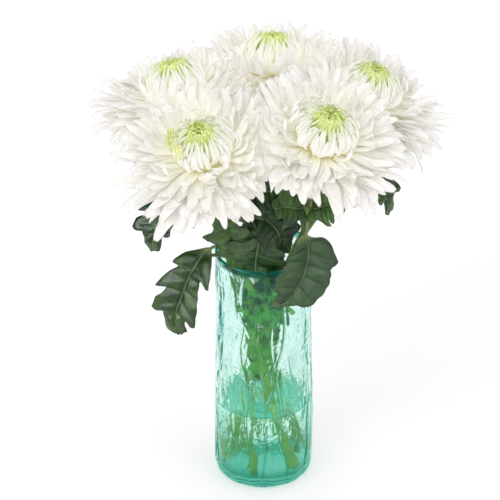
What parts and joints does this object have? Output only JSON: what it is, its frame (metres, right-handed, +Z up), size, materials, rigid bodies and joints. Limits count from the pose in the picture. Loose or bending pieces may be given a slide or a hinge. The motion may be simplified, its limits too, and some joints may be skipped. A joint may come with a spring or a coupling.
{
  "type": "chrysanthemums in a glass jar",
  "caption": "Bunch of large white chrysanthemum heads with lime-green centres, on leafy stems that stand in water in a tall cylindrical aqua glass jar with a bark relief.",
  "frame": {"origin": "centre of the jar's flat foot, on the surface it stands on", "axes": "+Z up along the jar's axis; -Y towards the front of the bunch, where the two lowest heads are; +X to the right seen from the front"},
  "size_m": [0.3294, 0.2962, 0.4423],
  "materials": {
    "glass": "clear aqua glass with a bark relief",
    "water": "clear, still water",
    "petal": "soft matte white petals, cream at the base",
    "floret": "soft lime-green florets",
    "foliage": "satin dark green leaf and stem"
  },
  "bodies": {
    "root": {"jar": "glass", "water": "water", "stem_front_left": "foliage", "bloom_front_left": "petal", "centre_front_left": "floret", "stem_front_right": "foliage", "bloom_front_right": "petal", "centre_front_right": "floret", "stem_back_right": "foliage", "bloom_back_right": "petal", "centre_back_right": "floret", "stem_back_middle": "foliage", "bloom_back_middle": "petal", "centre_back_middle": "floret", "stem_back_left": "foliage", "bloom_back_left": "petal", "centre_back_left": "floret"}
  },
  "joints": []
}
